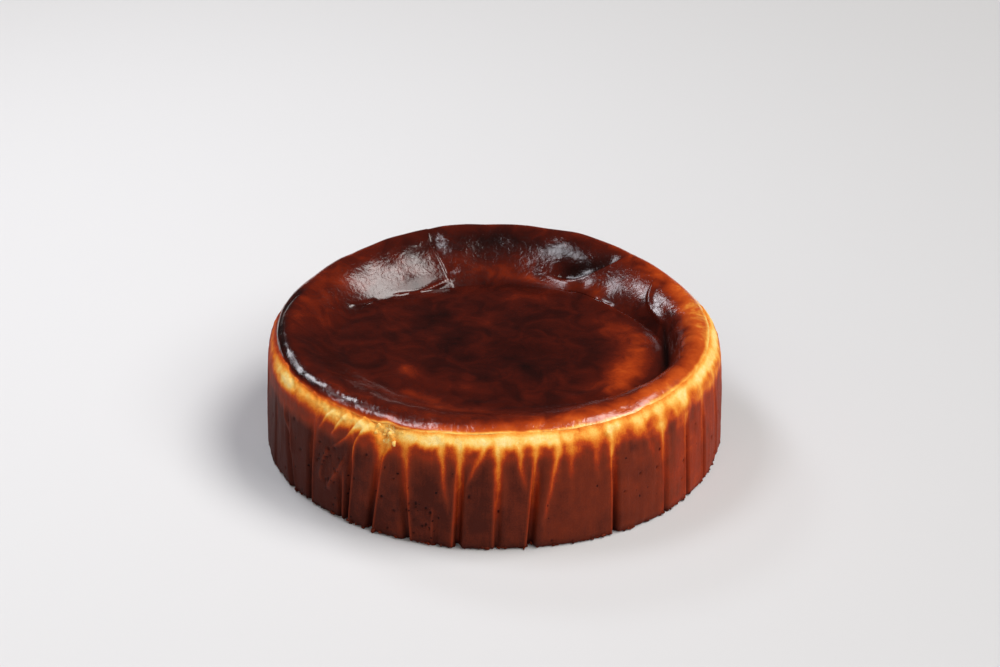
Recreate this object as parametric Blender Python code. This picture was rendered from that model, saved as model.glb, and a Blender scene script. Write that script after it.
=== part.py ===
"""A whole burnt-top baked cheesecake, built as one closed solid in metres, +Z up.

The cake stands on its flat base at z = 0, with its origin at the base's middle and its front facing -Y. It
was baked in a round tin lined with creased paper, which left upright pleats in its side. The middle sank as
it cooled, which left a rounded rim around a sunken floor.
"""

import math
import random
from dataclasses import dataclass

import bmesh
import bpy

NODE_NAME = "cheesecake"

# Driving sizes, in metres.
BASE_RADIUS = 0.100
BASE_EDGE = 0.0010  # height and depth of the worn edge around the base
SHOULDER_START = 0.0420  # where the upright side begins to round over into the rim
SIDE_DRAW_IN = 0.0016  # how far the side leans in between the base and the shoulder

# The profile's curves.
SIDE_BOW = 2.0  # 1 is a straight side, and more keeps it upright near the base
SHOULDER_FULLNESS = 1.85  # 2 is a plain quarter ellipse, and less is flatter
WALL_FALL = 1.9  # 1 is a straight wall, and more keeps the rim round and steepens a crisp foot
CREASE_REACH = 0.005  # how far the crease at the wall's foot reaches into the floor

# How the mesh is divided.
SIDE_ROWS = 5
SHOULDER_ROWS = 5
WALL_ROWS = 8
FLOOR_ROWS = 5
FLOOR_INNER_SHARE = 0.12  # radius of the innermost floor ring, as a share of the foot's radius
WIDEST_PANEL = 5.0  # degrees: a panel between two pleats is split into columns no wider than this

# The tin's lining never lies quite round: (waves in a turn, phase in radians, height in metres).
LINING_WAVES = ((2, 0.6, 0.0005), (3, 2.0, 0.0004), (7, 0.0, 0.0003))

BROWN_SKIN = (0.115, 0.028, 0.011, 1.0)
SKIN_ROUGHNESS = 0.35
SHARP_EDGE_ANGLE = math.radians(40)


@dataclass(frozen=True)
class RimStation:
    """The rim and floor at one angle round the cake: degrees from +X towards +Y, and sizes in metres."""

    angle: float
    crest_radius: float
    crest_height: float
    foot_radius: float
    floor_height: float
    crease_depth: float
    foot_softness: float  # 0 is a crisp foot, and 1 lets the wall run smoothly into the floor


@dataclass(frozen=True)
class Pleat:
    """One crease pressed into the side. It moves round by `lean` degrees from the base to the shoulder."""

    angle: float
    lean: float
    depth: float
    width: float


@dataclass(frozen=True)
class Fold:
    """A fold in the top's skin: a ridge, or a dent if its height is negative, fading out over its reaches."""

    angle: float
    radius: float
    height: float
    round_reach: float
    radial_reach: float


# The middle sank furthest on the right (+X), where the wall is steepest and its foot is creased.
RIM = (
    RimStation(0, 0.0885, 0.0535, 0.0730, 0.0410, 0.0024, 0.0),
    RimStation(30, 0.0895, 0.0530, 0.0670, 0.0410, 0.0014, 0.0),
    RimStation(60, 0.0900, 0.0562, 0.0630, 0.0412, 0.0008, 0.0),
    RimStation(90, 0.0905, 0.0573, 0.0610, 0.0412, 0.0008, 0.0),
    RimStation(120, 0.0905, 0.0572, 0.0625, 0.0415, 0.0010, 0.0),
    RimStation(150, 0.0905, 0.0538, 0.0690, 0.0425, 0.0004, 0.3),
    RimStation(180, 0.0905, 0.0540, 0.0680, 0.0435, 0.0002, 0.8),
    RimStation(210, 0.0900, 0.0536, 0.0600, 0.0435, 0.0, 1.0),
    RimStation(240, 0.0885, 0.0535, 0.0570, 0.0430, 0.0, 1.0),
    RimStation(270, 0.0880, 0.0538, 0.0555, 0.0425, 0.0, 1.0),
    RimStation(300, 0.0880, 0.0542, 0.0600, 0.0420, 0.0002, 0.7),
    RimStation(330, 0.0885, 0.0546, 0.0715, 0.0412, 0.0014, 0.1),
)

# The front's pleats, from left to right.
FRONT_PLEATS = (
    Pleat(201.0, 1.0, 0.0012, 0.0030),
    Pleat(212.0, -3.0, 0.0016, 0.0034),
    Pleat(219.0, 1.0, 0.0032, 0.0028),
    Pleat(231.6, 2.4, 0.0032, 0.0030),
    Pleat(238.9, 3.2, 0.0032, 0.0032),
    Pleat(249.3, -1.2, 0.0020, 0.0034),
    Pleat(260.7, 1.3, 0.0034, 0.0034),
    Pleat(270.5, 0.6, 0.0018, 0.0028),
    Pleat(278.4, 1.8, 0.0036, 0.0036),
    Pleat(300.1, -0.7, 0.0036, 0.0032),
    Pleat(315.6, -0.9, 0.0022, 0.0028),
    Pleat(324.6, -0.7, 0.0032, 0.0030),
    Pleat(333.6, -1.3, 0.0020, 0.0028),
    Pleat(344.7, -3.8, 0.0018, 0.0030),
)

# The pleats round the back are of the same kind, drawn from a fixed seed between these limits.
BACK_PLEAT_SEED = 11
BACK_PLEAT_STEP = (8.0, 14.0)  # degrees from one pleat to the next
BACK_PLEAT_LEAN = (-4.0, 4.0)
BACK_PLEAT_DEPTH = (0.0012, 0.0036)
BACK_PLEAT_WIDTH = (0.0026, 0.0036)

STEEP_FLANK_SHARE = 0.45  # a pleat's steep flank is this wide, as a share of its other flank
PLEAT_TOP_SHARE = 0.15  # a pleat is this deep where the shoulder starts, as a share of its depth at the base
PLEAT_FADE = 1.3  # 1 fades it evenly, and more keeps it deep for longer

# The folds, from the crease at the back round the steep right-hand wall to the loose skin on the left rim.
FOLDS = (
    Fold(117, 0.0780, 0.0016, 0.0045, 0.0120),
    Fold(109, 0.0770, -0.0014, 0.0050, 0.0120),
    Fold(65, 0.0780, 0.0010, 0.0060, 0.0080),
    Fold(58, 0.0700, -0.0030, 0.0080, 0.0060),
    Fold(48, 0.0800, -0.0022, 0.0040, 0.0070),
    Fold(42, 0.0720, 0.0024, 0.0080, 0.0060),
    Fold(22, 0.0790, 0.0018, 0.0100, 0.0040),
    Fold(359, 0.0745, -0.0020, 0.0120, 0.0030),
    Fold(344, 0.0620, 0.0012, 0.0200, 0.0120),
    Fold(179, 0.0930, -0.0014, 0.0120, 0.0030),
)


def back_pleats():
    """The pleats round the back, between the last and the first of the front's."""
    rng = random.Random(BACK_PLEAT_SEED)
    pleats = []
    angle = FRONT_PLEATS[-1].angle - 360 + rng.uniform(*BACK_PLEAT_STEP)
    last_angle = FRONT_PLEATS[0].angle - BACK_PLEAT_STEP[0]
    while angle < last_angle:
        lean = rng.uniform(*BACK_PLEAT_LEAN)
        depth = rng.uniform(*BACK_PLEAT_DEPTH)
        width = rng.uniform(*BACK_PLEAT_WIDTH)
        pleats.append(Pleat(angle, lean, depth, width))
        angle += rng.uniform(*BACK_PLEAT_STEP)
    return pleats


def between(before, start, end, after, t):
    """A smooth curve's value at t, from start at 0 to end at 1, aimed by its neighbours before and after."""
    slope_out = (end - before) / 2
    slope_in = (after - start) / 2
    rise = end - start
    square = 3 * rise - 2 * slope_out - slope_in
    cubic = slope_out + slope_in - 2 * rise
    return start + slope_out * t + square * t**2 + cubic * t**3


def rim_at(angle):
    """The rim and floor at any angle, read smoothly between the stations."""
    step = 360 / len(RIM)
    place = (angle % 360) / step
    index = int(place)
    near = [RIM[(index + offset) % len(RIM)] for offset in (-1, 0, 1, 2)]

    def value(name):
        return between(*(getattr(station, name) for station in near), place - index)

    return RimStation(
        angle,
        value("crest_radius"),
        value("crest_height"),
        value("foot_radius"),
        value("floor_height"),
        value("crease_depth"),
        value("foot_softness"),
    )


def side_radius(angle, height):
    """The plain side's radius at a place, before its pleats."""
    turn = math.radians(angle)
    waves = sum(size * math.cos(count * turn + phase) for count, phase, size in LINING_WAVES)
    return BASE_RADIUS + waves - SIDE_DRAW_IN * (height / SHOULDER_START) ** SIDE_BOW


def pleat_depth(depth, height):
    """How deep a pleat is at a height: it fades out towards the rim."""
    up = min(1.0, height / SHOULDER_START)
    return depth * (1 - (1 - PLEAT_TOP_SHARE) * up**PLEAT_FADE)


def fold_height(angle, radius):
    """The folds' height above the plain surface at a place on the top."""
    total = 0.0
    for fold in FOLDS:
        turn = math.radians((angle - fold.angle + 180) % 360 - 180)
        round_share = turn * fold.radius / fold.round_reach
        radial_share = (radius - fold.radius) / fold.radial_reach
        total += fold.height * math.exp(-(round_share**2) - radial_share**2)
    return total


def side_places(base_angle, lean, depth):
    """[(angle, radius, height)] of one column up the side, from the base's worn edge to the shoulder."""
    heights = [0.0]
    for row in range(SIDE_ROWS + 1):
        heights.append(BASE_EDGE + (SHOULDER_START - BASE_EDGE) * row / SIDE_ROWS)
    places = []
    for height in heights:
        angle = base_angle + lean * height / SHOULDER_START
        worn = BASE_EDGE if height == 0 else 0.0
        places.append((angle, side_radius(angle, height) - pleat_depth(depth, height) - worn, height))
    return places


def shoulder_places(angle, rim, depth):
    """[(angle, radius, height)] of one column over the shoulder, from the side to the rim's crest."""
    start = side_radius(angle, SHOULDER_START) - pleat_depth(depth, SHOULDER_START)
    places = []
    for row in range(1, SHOULDER_ROWS + 1):
        turn = math.pi / 2 * row / SHOULDER_ROWS
        outwards = max(0.0, math.cos(turn)) ** (2 / SHOULDER_FULLNESS)
        upwards = math.sin(turn) ** (2 / SHOULDER_FULLNESS)
        radius = rim.crest_radius + (start - rim.crest_radius) * outwards
        places.append((angle, radius, SHOULDER_START + (rim.crest_height - SHOULDER_START) * upwards))
    return places


def wall_places(angle, rim):
    """[(angle, radius, height)] of one column down the inner wall, from the crest to the wall's foot."""
    drop = rim.crest_height - rim.floor_height + rim.crease_depth
    places = []
    for row in range(1, WALL_ROWS + 1):
        share = row / WALL_ROWS
        radius = rim.crest_radius + (rim.foot_radius - rim.crest_radius) * share
        crisp_fall = share**WALL_FALL
        smooth_fall = share**2 * (3 - 2 * share)
        fall = crisp_fall + (smooth_fall - crisp_fall) * rim.foot_softness
        places.append((angle, radius, rim.crest_height - drop * fall))
    return places


def floor_places(angle, rim):
    """[(angle, radius, height)] of one column across the floor, from the wall's foot towards the middle."""
    places = []
    for row in range(1, FLOOR_ROWS + 1):
        radius = rim.foot_radius * (1 - (1 - FLOOR_INNER_SHARE) * row / FLOOR_ROWS)
        crease = rim.crease_depth * math.exp(-(rim.foot_radius - radius) / CREASE_REACH)
        places.append((angle, radius, rim.floor_height - crease))
    return places


def column_points(base_angle, lean, depth):
    """One column of the surface as points, from the base's edge over the rim and in to the floor's middle."""
    side = side_places(base_angle, lean, depth)
    top_angle = base_angle + lean
    rim = rim_at(top_angle)
    top = shoulder_places(top_angle, rim, depth) + wall_places(top_angle, rim) + floor_places(top_angle, rim)
    folded = [(angle, radius, height + fold_height(angle, radius)) for angle, radius, height in top]
    points = []
    for angle, radius, height in side + folded:
        turn = math.radians(angle)
        points.append((radius * math.cos(turn), radius * math.sin(turn), height))
    return points


def columns():
    """[(angle at the base, lean, depth)]: each pleat's lip, bottom and lip, then the panel after it."""
    pleats = [*back_pleats(), *FRONT_PLEATS]
    found = []
    for pleat, following in zip(pleats, pleats[1:] + pleats[:1]):
        flank = math.degrees(pleat.width / BASE_RADIUS)
        found.append((pleat.angle - flank * STEEP_FLANK_SHARE, pleat.lean, 0.0))
        found.append((pleat.angle, pleat.lean, pleat.depth))
        found.append((pleat.angle + flank, pleat.lean, 0.0))
        panel_start = pleat.angle + flank
        panel_end = following.angle - math.degrees(following.width / BASE_RADIUS) * STEEP_FLANK_SHARE
        panel = (panel_end - panel_start) % 360
        parts = math.ceil(panel / WIDEST_PANEL)
        for part in range(1, parts):
            share = part / parts
            lean = pleat.lean + (following.lean - pleat.lean) * share
            found.append((panel_start + panel * share, lean, 0.0))
    return found


def centred(grid):
    """The grid of points, moved sideways so that the box around the cake is centred on the origin."""
    across = [point[0] for column in grid for point in column]
    along = [point[1] for column in grid for point in column]
    middle_x = (min(across) + max(across)) / 2
    middle_y = (min(along) + max(along)) / 2
    return [[(x - middle_x, y - middle_y, z) for x, y, z in column] for column in grid]


def cake_mesh():
    """The cake's closed surface: quads between the columns, a flat base and a fan over the floor's middle."""
    grid = centred([column_points(*column) for column in columns()])
    builder = bmesh.new()
    corners = [[builder.verts.new(point) for point in column] for column in grid]
    for here, there in zip(corners, corners[1:] + corners[:1]):
        for row in range(len(here) - 1):
            builder.faces.new((here[row], there[row], there[row + 1], here[row + 1]))
    builder.faces.new([column[0] for column in reversed(corners)])
    middle = builder.faces.new([column[-1] for column in corners])
    bmesh.ops.poke(builder, faces=[middle])
    bmesh.ops.recalc_face_normals(builder, faces=builder.faces)
    mesh = bpy.data.meshes.new(NODE_NAME)
    builder.to_mesh(mesh)
    builder.free()
    return mesh


def skin_material():
    """The dark caramelised skin, smooth and slightly glossy."""
    material = bpy.data.materials.new("caramelised_skin")
    material.use_nodes = True
    shader = material.node_tree.nodes["Principled BSDF"]
    shader.inputs["Base Color"].default_value = BROWN_SKIN
    shader.inputs["Roughness"].default_value = SKIN_ROUGHNESS
    shader.inputs["Metallic"].default_value = 0.0
    return material


def main():
    for old in list(bpy.data.objects):
        bpy.data.objects.remove(old, do_unlink=True)
    mesh = cake_mesh()
    mesh.materials.append(skin_material())
    mesh.shade_smooth()
    mesh.set_sharp_from_angle(angle=SHARP_EDGE_ANGLE)
    bpy.context.collection.objects.link(bpy.data.objects.new(NODE_NAME, mesh))


main()
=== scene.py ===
"""The looks of a whole burnt-top baked cheesecake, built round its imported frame.

The cake is one food and one solid. Its visible surface is made here in two closed pieces that overlap under
the rim: the baked custard side with its pleats, and the caramelised skin over the rim and the sunken middle.
Small lumps of torn custard and the crumbs along the base are pieces of their own. All sizes are stated in mm
for a cake with a base radius of 100 mm, and CakeForm scales them to the frame.
"""

import logging
import math
from dataclasses import dataclass, field
from enum import Enum
from typing import Optional, Sequence

import bpy
import numpy as np
from mathutils import Euler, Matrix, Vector


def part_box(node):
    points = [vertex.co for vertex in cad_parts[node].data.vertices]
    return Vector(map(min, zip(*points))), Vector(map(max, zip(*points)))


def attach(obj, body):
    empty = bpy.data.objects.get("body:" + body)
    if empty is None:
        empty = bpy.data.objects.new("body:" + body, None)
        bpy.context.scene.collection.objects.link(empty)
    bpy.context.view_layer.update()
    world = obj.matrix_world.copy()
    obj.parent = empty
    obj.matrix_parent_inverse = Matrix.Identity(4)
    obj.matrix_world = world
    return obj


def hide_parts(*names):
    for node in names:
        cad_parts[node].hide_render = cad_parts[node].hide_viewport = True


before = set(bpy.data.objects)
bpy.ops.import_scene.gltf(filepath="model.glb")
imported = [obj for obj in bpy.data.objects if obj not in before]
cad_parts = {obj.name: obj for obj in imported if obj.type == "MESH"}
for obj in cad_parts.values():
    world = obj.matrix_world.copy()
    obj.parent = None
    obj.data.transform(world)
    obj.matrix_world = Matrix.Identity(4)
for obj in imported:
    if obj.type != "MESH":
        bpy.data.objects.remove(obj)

NODE = "cheesecake"
BODY = "root"
REFERENCE_RADIUS = 100.0  # mm: the base radius that every size below is stated for
MM_PER_DEGREE = math.radians(REFERENCE_RADIUS)

log = logging.getLogger("cheesecake")
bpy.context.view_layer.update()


# ------------------------------------------------------------------------------
# What the cake is like: angles in degrees from +X towards +Y, sizes in mm
# ------------------------------------------------------------------------------


class Steep(Enum):
    """Which flank of a pleat is the steep one, seen from outside."""

    LEFT = -1
    RIGHT = 1


@dataclass(frozen=True)
class RimStation:
    """The rim at one angle: its form, where the skin ends, and how brown the custard below it is."""

    angle: float
    crest_radius: float
    crest_height: float
    foot_radius: float
    floor_height: float
    crease: float
    softness: float  # 0 is a crisp foot of the inner wall, and 1 lets it run smoothly into the floor
    skin_edge: float  # share of the shoulder, from 0 at the side to 1 at the crest
    amber: float  # how far in from its edge the skin stays thin and amber
    brown_top: float  # height where the brown of the side begins
    band: float  # how baked the pale band is, from 0 for cream to 1 for dark brown


@dataclass(frozen=True)
class Pleat:
    """A crease that the lining pressed into the side, leaning by `lean` degrees from base to shoulder."""

    angle: float
    lean: float
    depth: float
    width: float
    steep: Steep
    top: float = 47.0


@dataclass(frozen=True)
class Streak:
    """A pale streak that runs down the side out of the band, narrowing as it goes."""

    angle: float
    end_angle: float
    end_height: float
    width: float
    strength: float


@dataclass(frozen=True)
class Fold:
    """A ridge along a smooth line, or a valley if its height is negative, with its reach to either side.

    The points are (angle, height) on the side and (angle, radius) on the top. Left and right are those of
    someone who walks along the line and looks at the surface from outside. `tint` browns the surface along
    the line, or pales it if negative; in the top's pocket, slit, valley and fold of loose skin that browning
    is painted shade.
    """

    line: tuple[tuple[float, float], ...]
    height: float
    left_reach: float
    right_reach: float
    tint: float = 0.0


@dataclass(frozen=True)
class PitCluster:
    """A cluster of burst bubbles low on the side, scattered by `spread` degrees round its angle."""

    angle: float
    spread: float
    low: float
    high: float
    count: int
    porous_reach: float  # degrees over which the crust round it is finely porous too


@dataclass(frozen=True)
class Patch:
    """A soft spot on the top: a bump, a dent or a tint of `amount` that fades out over its reaches."""

    angle: float
    radius: float
    amount: float
    round_reach: float
    radial_reach: float


RIM = (
    RimStation(0, 88.5, 53.5, 75.2, 41.0, 1.0, 0.0, 0.64, 13.0, 46.6, 0.12),
    RimStation(30, 89.5, 53.0, 67.6, 41.0, 0.7, 0.0, 0.52, 9.0, 45.5, 0.22),
    RimStation(60, 90.0, 56.2, 63.0, 41.2, 0.5, 0.1, 0.46, 6.0, 44.5, 0.30),
    RimStation(90, 90.5, 57.3, 61.0, 41.2, 0.5, 0.1, 0.44, 5.0, 44.5, 0.34),
    RimStation(120, 90.5, 57.2, 62.5, 41.5, 0.8, 0.0, 0.44, 5.0, 44.5, 0.40),
    RimStation(150, 90.5, 53.8, 69.0, 42.5, 0.4, 0.3, 0.52, 4.0, 45.0, 0.55),
    RimStation(180, 90.5, 54.0, 68.0, 43.5, 0.2, 0.8, 0.62, 2.0, 44.0, 0.50),
    RimStation(210, 88.4, 53.6, 60.0, 43.5, 0.0, 1.0, 0.58, 1.6, 42.0, 0.24),
    RimStation(240, 85.6, 53.5, 56.0, 43.0, 0.0, 1.0, 0.51, 3.0, 45.0, 0.16),
    RimStation(270, 85.4, 53.8, 54.0, 42.5, 0.0, 1.0, 0.61, 5.0, 47.0, 0.10),
    RimStation(300, 86.8, 54.2, 59.0, 42.0, 0.2, 0.7, 0.58, 8.0, 48.6, 0.09),
    RimStation(330, 88.5, 54.6, 73.6, 41.2, 0.8, 0.1, 0.62, 11.0, 47.6, 0.10),
)

FRONT_PLEATS = (
    Pleat(201.0, 1.0, 1.2, 3.0, Steep.RIGHT),
    Pleat(212.0, -3.0, 1.6, 3.4, Steep.RIGHT, 40.0),
    Pleat(219.0, 1.6, 3.2, 2.8, Steep.RIGHT),
    Pleat(229.9, 0.9, 2.0, 2.2, Steep.RIGHT, 27.0),
    Pleat(231.9, 2.4, 2.6, 2.4, Steep.RIGHT),
    Pleat(238.9, 3.4, 3.0, 3.0, Steep.RIGHT),
    Pleat(249.3, -1.2, 2.2, 3.0, Steep.RIGHT),
    Pleat(255.6, 1.0, 0.8, 2.2, Steep.LEFT, 22.0),
    Pleat(260.8, 1.3, 3.2, 3.0, Steep.LEFT),
    Pleat(270.5, 0.6, 1.6, 2.6, Steep.LEFT),
    Pleat(278.4, 1.9, 3.4, 3.2, Steep.LEFT),
    Pleat(300.1, -0.7, 3.4, 2.8, Steep.LEFT),
    Pleat(315.6, -0.9, 1.6, 2.6, Steep.LEFT),
    Pleat(324.6, -0.7, 2.8, 2.6, Steep.LEFT),
    Pleat(333.6, -1.3, 2.0, 2.6, Steep.LEFT),
    Pleat(344.7, -3.8, 1.8, 2.8, Steep.LEFT),
)

FRONT_STREAKS = (
    Streak(203.5, 205.5, 30.0, 2.2, 0.55),
    Streak(211.0, 210.0, 36.0, 3.0, 0.75),
    Streak(221.5, 220.6, 22.0, 2.2, 0.85),
    Streak(229.6, 228.6, 39.0, 1.8, 0.6),
    Streak(234.6, 233.0, 20.0, 1.2, 0.5),
    Streak(242.2, 239.8, 12.0, 3.2, 1.0),
    Streak(248.6, 249.2, 10.0, 2.6, 0.9),
    Streak(257.3, 259.3, 17.0, 2.2, 1.0),
    Streak(262.2, 261.0, -6.0, 1.9, 0.95),
    Streak(267.8, 262.8, 27.0, 2.0, 0.9),
    Streak(271.4, 270.6, 4.0, 2.5, 1.0),
    Streak(276.0, 278.2, 25.0, 2.2, 0.95),
    Streak(280.3, 278.8, -6.0, 2.0, 0.85),
    Streak(285.6, 281.6, 4.0, 2.0, 0.9),
    Streak(288.6, 289.2, 22.0, 2.6, 0.75),
    Streak(295.0, 295.8, 27.0, 2.6, 0.75),
    Streak(299.3, 300.0, -4.0, 1.7, 0.95),
    Streak(303.0, 304.0, 34.0, 2.4, 0.6),
    Streak(308.2, 312.2, 28.0, 2.4, 0.85),
    Streak(314.7, 315.5, 2.0, 2.2, 0.9),
    Streak(320.0, 320.6, 32.0, 2.0, 0.6),
    Streak(324.0, 324.5, 4.0, 1.9, 0.85),
    Streak(332.4, 333.4, 6.0, 1.9, 0.8),
    Streak(341.4, 343.8, 6.0, 1.8, 0.75),
    Streak(350.0, 351.0, 22.0, 2.2, 0.7),
)

SIDE_FOLDS = (
    Fold(((235.8, 50.5), (234.2, 46.5), (232.2, 41.5), (229.7, 37.0), (227.0, 33.0)), 1.0, 2.0, 0.6, -0.30),
    Fold(((226.4, 50.0), (225.0, 46.5), (223.6, 42.0), (222.2, 38.0)), 0.7, 1.5, 0.5, -0.22),
    Fold(((231.0, 50.5), (229.4, 46.5), (228.0, 42.0), (226.4, 38.0)), 0.7, 1.5, 0.5, -0.24),
    Fold(((231.4, 31.5), (229.4, 24.5), (226.8, 17.0), (225.2, 11.5)), 1.0, 2.4, 0.6, -0.22),
    Fold(((226.6, 32.8), (225.0, 27.0), (223.8, 20.0), (223.4, 14.0)), 0.8, 0.6, 2.2, -0.18),
    Fold(((206.6, 38.0), (208.4, 31.0), (210.4, 24.0), (212.4, 15.5)), 0.8, 2.4, 0.7, -0.15),
    Fold(((238.4, 50.5), (236.6, 46.0), (235.0, 41.0), (233.9, 34.0), (233.2, 27.0)), 0.9, 1.8, 0.6, -0.26),
    Fold(((297.6, 47.4), (299.4, 49.4), (302.6, 50.6)), 1.0, 0.8, 1.8, -0.12),
    Fold(((285.4, 46.0), (284.2, 36.0), (282.8, 24.0), (281.8, 12.0)), 0.7, 0.7, 2.6, 0.0),
)

TOP_FOLDS = (
    # The crease at the back, where the skin on its right dips under the skin on its left.
    Fold(((110.6, 89.0), (111.2, 82.0), (110.6, 75.0), (109.4, 68.0), (108.6, 63.5)), -1.9, 6.0, 0.5),
    Fold(((111.2, 89.0), (111.8, 82.0), (111.2, 75.0), (110.0, 68.0)), 0.22, 0.6, 1.4),
    # The thin lip that the wall's skin rolls into at its foot.
    Fold(((137.0, 67.0), (130.0, 64.5), (123.0, 62.8), (115.0, 63.2), (107.5, 64.4)), 1.0, 0.8, 0.7, -0.16),
    Fold(((155.0, 73.0), (148.5, 69.8), (141.0, 67.5)), 0.8, 1.1, 1.1),
    # The pocket on the right of the back wall, browned along it as painted shade, and the thin roll below the
    # bulge beside it.
    Fold(
        ((68.0, 68.0), (62.0, 68.2), (57.0, 70.0), (52.7, 73.6), (49.3, 80.5), (47.0, 89.0)),
        -2.6,
        5.0,
        1.0,
        0.30,
    ),
    Fold(((45.5, 65.6), (40.8, 65.6), (35.5, 67.0)), 0.5, 0.7, 0.9, -0.1),
    # The fold down the right wall, and the crease below it that the floor's lobe presses against, running on
    # as a shallow valley; the crease and the valley are browned as painted shade.
    Fold(((31.5, 86.0), (29.4, 81.5), (26.6, 77.6), (22.2, 75.2), (15.5, 75.4), (9.5, 76.6)), 0.8, 1.7, 0.5),
    Fold(((12.0, 76.0), (6.0, 75.6), (359.0, 75.2), (352.0, 75.6), (345.0, 77.0)), -0.5, 0.7, 0.6, 0.16),
    Fold(((353.0, 74.6), (343.0, 76.6), (333.0, 78.0), (322.0, 79.0)), -0.9, 2.0, 2.6, 0.08),
    # The loose skin on the left rim, browned in its fold as painted shade.
    Fold(((157.0, 89.5), (166.0, 92.0), (175.0, 93.6), (184.0, 93.4), (190.0, 92.4)), -0.6, 1.1, 2.0, 0.2),
    # The sunken middle's edge at the front left, and faint wrinkles inside it.
    Fold(
        ((200.0, 50.0), (212.0, 52.0), (226.0, 54.5), (241.0, 57.5), (256.0, 60.5), (270.0, 62.0)),
        -0.3,
        4.0,
        6.0,
    ),
    Fold(((238.0, 49.0), (252.0, 51.5), (266.0, 53.0), (282.0, 52.0)), 0.22, 1.4, 1.0),
    Fold(((226.0, 43.0), (244.0, 45.0), (262.0, 46.5)), 0.18, 1.2, 1.0),
    Fold(((292.0, 56.0), (308.0, 57.0), (322.0, 62.0), (334.0, 68.0)), 0.45, 3.0, 3.0, -0.06),
    Fold(((285.0, 66.0), (300.0, 68.0), (314.0, 72.0)), -0.35, 2.0, 2.0),
)

TOP_BUMPS = (
    Patch(50.5, 67.4, 2.7, 8.0, 8.0),
    Patch(66, 84.0, 1.4, 9.0, 7.0),
    Patch(346, 60.0, 1.8, 20.0, 12.0),
    Patch(155, 80.0, 0.8, 14.0, 7.0),
    Patch(84, 82.0, 0.4, 7.0, 6.0),
    Patch(196, 70.0, 0.6, 16.0, 8.0),
)

TOP_TINTS = (
    Patch(78, 64.5, -0.22, 22.0, 2.4),
    Patch(46, 67.0, -0.16, 14.0, 3.0),
    Patch(150, 80.0, -0.10, 12.0, 8.0),
    Patch(170, 85.0, -0.06, 12.0, 5.0),
    # Painted shade in the slit.
    Patch(357, 75.4, 0.34, 9.0, 1.5),
    Patch(15, 86.0, -0.06, 30.0, 6.0),
    Patch(285, 84.0, -0.07, 40.0, 6.0),
    Patch(352, 63.0, -0.32, 20.0, 8.0),
    Patch(332, 61.0, -0.25, 18.0, 9.0),
    Patch(14, 60.0, -0.12, 16.0, 9.0),
    Patch(20, 86.0, -0.06, 18.0, 6.0),
    Patch(214, 45.0, -0.18, 10.0, 5.0),
    Patch(236, 56.0, -0.20, 16.0, 4.0),
    Patch(254, 62.0, -0.12, 12.0, 4.0),
    Patch(256, 42.0, -0.10, 10.0, 4.0),
    Patch(77, 51.0, -0.16, 6.0, 5.0),
    Patch(66, 49.0, -0.14, 7.0, 4.0),
    Patch(105, 21.0, -0.16, 6.0, 4.0),
    Patch(21, 53.0, -0.10, 10.0, 7.0),
    Patch(134, 39.0, 0.14, 9.0, 6.0),
    Patch(160, 17.0, 0.10, 8.0, 6.0),
    Patch(304, 28.0, 0.20, 4.0, 8.0),
    Patch(195, 76.0, 0.24, 20.0, 10.0),
    Patch(220, 78.0, 0.10, 24.0, 8.0),
    Patch(92, 80.0, 0.30, 26.0, 8.0),
    Patch(125, 84.0, 0.10, 20.0, 7.0),
    Patch(88, 62.0, 0.06, 20.0, 5.0),
    Patch(60, 78.0, 0.18, 14.0, 7.0),
    Patch(12, 79.0, 0.10, 10.0, 4.0),
)

PIT_CLUSTERS = (PitCluster(225.0, 3.0, 14, 34, 12, 6.0), PitCluster(253.5, 2.5, 5, 20, 9, 5.0))

LINING_WAVES = ((2, 0.6, 0.5), (3, 2.0, 0.4), (7, 0.0, 0.3))  # waves round the outline: count, phase, size


def smooth(low: float, high: float, value: np.ndarray) -> np.ndarray:
    """A smooth step from 0 at `low` to 1 at `high`."""
    t = np.clip((value - low) / (high - low), 0.0, 1.0)
    return t * t * (3 - 2 * t)


def bell(offset: np.ndarray, reach: float) -> np.ndarray:
    """A bell curve: 1 at no offset, fading out over `reach`."""
    return np.exp(-((offset / reach) ** 2))


def turned(angle: np.ndarray, centre: np.ndarray) -> np.ndarray:
    """The signed angle in degrees from `centre` to `angle`, from -180 to 180."""
    return (angle - centre + 180.0) % 360.0 - 180.0


def around(angle: np.ndarray, centre: float, reach: float | np.ndarray) -> np.ndarray:
    """1 at the angle `centre`, fading out over `reach` degrees to both sides."""
    return bell(turned(angle, centre), reach)


def smooth_line(points: np.ndarray, steps: int = 14) -> np.ndarray:
    """Draws a smooth line through points.

    Args:
        points: the points that it passes through, in order.
        steps: how many places it has from one of them to the next.

    Returns:
        The places along the line.
    """
    padded = np.vstack([2 * points[0] - points[1], points, 2 * points[-1] - points[-2]])
    t = np.arange(steps)[:, None] / steps
    runs = []
    for p0, p1, p2, p3 in zip(padded, padded[1:], padded[2:], padded[3:]):
        bend = (2 * p0 - 5 * p1 + 4 * p2 - p3) * t**2 + (3 * p1 - p0 - 3 * p2 + p3) * t**3
        runs.append((2 * p1 + (p2 - p0) * t + bend) / 2)
    return np.vstack([*runs, points[-1]])


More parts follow.
